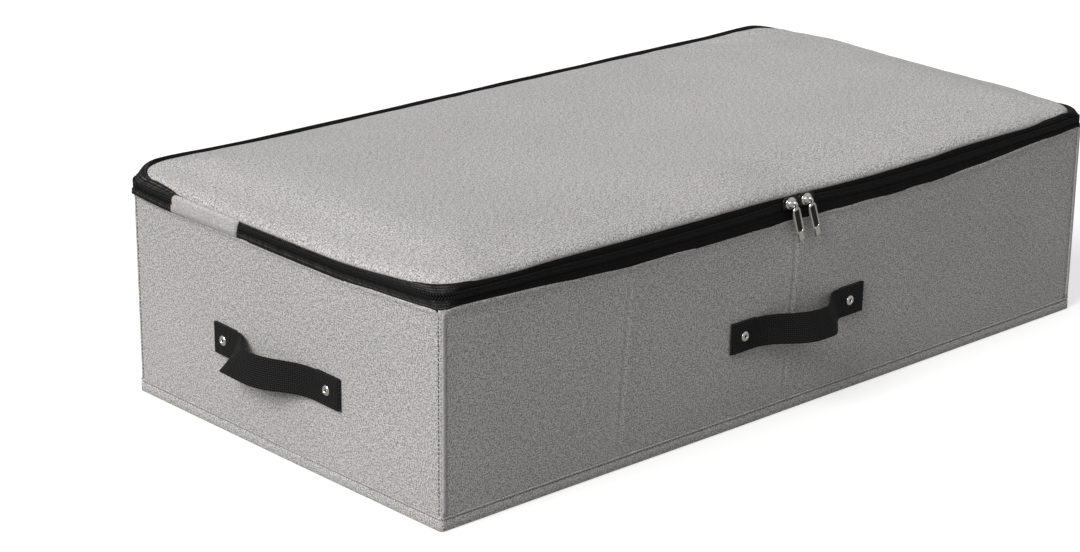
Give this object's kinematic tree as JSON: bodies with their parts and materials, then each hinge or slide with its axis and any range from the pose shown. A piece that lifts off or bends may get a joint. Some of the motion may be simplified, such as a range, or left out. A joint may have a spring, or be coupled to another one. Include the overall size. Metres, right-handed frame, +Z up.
{
  "type": "under bed storage box",
  "caption": "Low fabric storage box with board-stiffened walls, a padded zip-open lid that folds back, sliding zipper pulls and riveted webbing handles.",
  "frame": {"origin": "on the floor, under the middle of the box's rectangular plan", "axes": "+X along the long walls, -Y out of the front wall with the handle, +Z up"},
  "size_m": [0.7914, 0.4065, 0.203],
  "materials": {
    "grey_cloth": "heathered linen-look weave",
    "lining_cloth": "plain non-woven lining",
    "black_webbing": "woven webbing and ribbed tape",
    "black_nylon": "semi-matte moulded nylon",
    "grey_board": "uncoated board",
    "white_wadding": "fibre wadding",
    "nickel": "nickel plated, slightly worn"
  },
  "bodies": {
    "box": {"base_cover": "grey_cloth", "base_hem": "grey_cloth", "front_cover": "grey_cloth", "back_cover": "grey_cloth", "left_cover": "grey_cloth", "right_cover": "grey_cloth", "front_board_1": "grey_board", "front_board_2": "grey_board", "front_board_3": "grey_board", "front_board_4": "grey_board", "back_board_1": "grey_board", "back_board_2": "grey_board", "back_board_3": "grey_board", "back_board_4": "grey_board", "left_board": "grey_board", "right_board": "grey_board", "front_lining": "lining_cloth", "back_lining": "lining_cloth", "left_lining": "lining_cloth", "right_lining": "lining_cloth", "corner_welts": "grey_cloth", "rim_binding": "black_webbing", "zip_tape_lower": "black_webbing", "zip_teeth_lower": "black_nylon", "zip_tape_rear": "black_webbing", "zip_teeth_rear": "black_nylon", "zip_patch_left": "grey_cloth", "zip_patch_right": "grey_cloth", "lid_rear_cover": "grey_cloth", "lid_rear_pad": "white_wadding", "lid_rear_lining": "lining_cloth", "handle_front_ends": "black_webbing", "handle_left_ends": "black_webbing", "handle_right_ends": "black_webbing", "rivets": "nickel", "rivet_washers": "nickel"},
    "lid": {"lid_front_cover": "grey_cloth", "lid_front_pad": "white_wadding", "lid_front_lining": "lining_cloth", "zip_tape_front": "black_webbing", "zip_teeth_front": "black_nylon"},
    "slider_left": {"slider_left": "nickel"},
    "slider_right": {"slider_right": "nickel"},
    "pull_left": {"pull_left": "nickel"},
    "pull_right": {"pull_right": "nickel"},
    "handle_front": {"handle_front_loop": "black_webbing"},
    "handle_left": {"handle_left_loop": "black_webbing"},
    "handle_right": {"handle_right_loop": "black_webbing"},
    "base_board": {"base_sleeve": "lining_cloth", "base_leaves": "grey_board"}
  },
  "joints": [
    {"name": "lid_fold", "type": "hinge", "parent": "box", "child": "lid", "pos_m": [0, 0.044, 0.2035], "axis": [-1, 0, 0], "range_deg": [0, 175]},
    {"name": "slider_left_slide", "type": "slide", "parent": "box", "child": "slider_left", "axis": [-1, 0, 0], "range_m": [0, 0.325]},
    {"name": "slider_right_slide", "type": "slide", "parent": "box", "child": "slider_right", "axis": [1, 0, 0], "range_m": [0, 0.335]},
    {"name": "pull_left_swing", "type": "hinge", "parent": "slider_left", "child": "pull_left", "pos_m": [-0.01415, -0.1991, 0.178], "axis": [-1, 0, 0], "range_deg": [-12, 165]},
    {"name": "pull_right_swing", "type": "hinge", "parent": "slider_right", "child": "pull_right", "pos_m": [0.00415, -0.1991, 0.178], "axis": [-1, 0, 0], "range_deg": [-12, 165]},
    {"name": "handle_front_lift", "type": "hinge", "parent": "box", "child": "handle_front", "pos_m": [0, -0.2025, 0.078], "axis": [-1, 0, 0], "range_deg": [0, 70]},
    {"name": "handle_left_lift", "type": "hinge", "parent": "box", "child": "handle_left", "pos_m": [-0.385, 0, 0.078], "axis": [0, 1, 0], "range_deg": [0, 70]},
    {"name": "handle_right_lift", "type": "hinge", "parent": "box", "child": "handle_right", "pos_m": [0.385, 0, 0.078], "axis": [0, -1, 0], "range_deg": [0, 70]},
    {"name": "base_board_lift", "type": "slide", "parent": "box", "child": "base_board", "axis": [0, 0, -1], "range_m": [-0.13, 0]}
  ]
}
